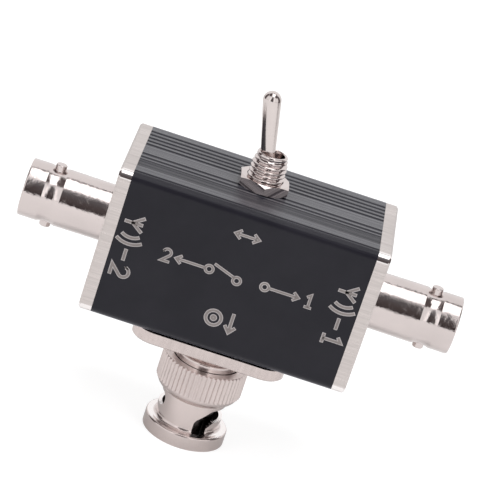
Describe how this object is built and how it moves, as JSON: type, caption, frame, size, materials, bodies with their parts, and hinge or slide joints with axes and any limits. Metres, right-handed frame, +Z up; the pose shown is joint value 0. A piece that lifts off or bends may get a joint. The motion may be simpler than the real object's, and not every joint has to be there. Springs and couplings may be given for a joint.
{
  "type": "coaxial antenna switch",
  "caption": "Small metal box with a bayonet jack on each end, a toggle lever on top and a bayonet plug below; the lever joins the plug to one jack or the other.",
  "frame": {"origin": "on the plug's axis, in the plane of the coupling ring's end face", "axes": "+X towards the right-hand jack, +Y to the back, +Z up towards the toggle"},
  "size_m": [0.0732, 0.025, 0.0614],
  "materials": {
    "housing_black": "black anodised, satin",
    "end_plate": "fine brushed",
    "flange_plate": "fine brushed",
    "jack_nickel": "bright nickel plating",
    "plug_nickel": "satin nickel plating",
    "ring_nickel": "satin nickel plating",
    "toggle_nickel": "bright nickel plating",
    "fastener": "zinc plated",
    "spring_steel": "zinc plated",
    "contact_gold": "gold plated",
    "terminal_silver": "silver plated",
    "insulator": "white PTFE",
    "case_phenolic": "dark red phenolic",
    "plunger_acetal": "natural acetal",
    "gasket_silicone": "red silicone",
    "wire_insulation": "wire insulation"
  },
  "bodies": {
    "switch_body": {"housing": "housing_black", "bottom_flange": "flange_plate", "flange_screws": "fastener", "plug_rear_body": "plug_nickel", "plug_outer_contact": "plug_nickel", "plug_insulator": "insulator", "plug_center_pin": "contact_gold", "plug_gasket": "gasket_silicone", "plug_lock_washer": "fastener", "plug_nut": "plug_nickel", "wave_washer": "spring_steel", "toggle_bushing": "toggle_nickel", "toggle_bracket": "spring_steel", "toggle_case": "case_phenolic", "terminal_common": "terminal_silver", "toggle_nut": "toggle_nickel", "toggle_lock_washer": "fastener", "wire_common": "wire_insulation", "end_plate_left": "end_plate", "end_screws_left": "fastener", "jack_shell_left": "jack_nickel", "jack_insulator_left": "insulator", "jack_contact_left": "contact_gold", "jack_lock_washer_left": "fastener", "jack_nut_left": "jack_nickel", "terminal_left": "terminal_silver", "wire_left": "wire_insulation", "end_plate_right": "end_plate", "end_screws_right": "fastener", "jack_shell_right": "jack_nickel", "jack_insulator_right": "insulator", "jack_contact_right": "contact_gold", "jack_lock_washer_right": "fastener", "jack_nut_right": "jack_nickel", "terminal_right": "terminal_silver", "wire_right": "wire_insulation"},
    "lever": {"toggle_lever": "toggle_nickel", "lever_pin": "fastener", "plunger_spring": "spring_steel"},
    "plunger": {"toggle_plunger": "plunger_acetal"},
    "rocker": {"rocker_contact": "terminal_silver"},
    "ring_slider": {"thrust_washer": "spring_steel"},
    "coupling": {"coupling_ring": "ring_nickel", "retaining_ring": "spring_steel"}
  },
  "joints": [
    {"name": "toggle_throw", "type": "hinge", "parent": "switch_body", "child": "lever", "pos_m": [-0.00025, 0, 0.0476], "axis": [0, 1, 0], "range_deg": [0, 26]},
    {"name": "contact_rock", "type": "hinge", "parent": "switch_body", "child": "rocker", "pos_m": [-0.00025, 0, 0.03827], "axis": [0, 1, 0], "range_deg": [-16, 0]},
    {"name": "plunger_slide", "type": "slide", "parent": "lever", "child": "plunger", "axis": [-0.225, 0, 0.9744], "range_m": [0, 0.0004], "stiffness_N_per_m": 800, "deforming": ["plunger_spring"]},
    {"name": "ring_slide", "type": "slide", "parent": "switch_body", "child": "ring_slider", "axis": [0, 0, -1], "range_m": [0, 0.0007], "stiffness_N_per_m": 3000, "deforming": ["wave_washer"]},
    {"name": "ring_spin", "type": "hinge", "parent": "ring_slider", "child": "coupling", "pos_m": [0, 0, 0.007], "axis": [0, 0, 1], "continuous": true}
  ],
  "couplings": [
    {"joint": "contact_rock", "follows": "toggle_throw", "ratio": -0.6153}
  ]
}
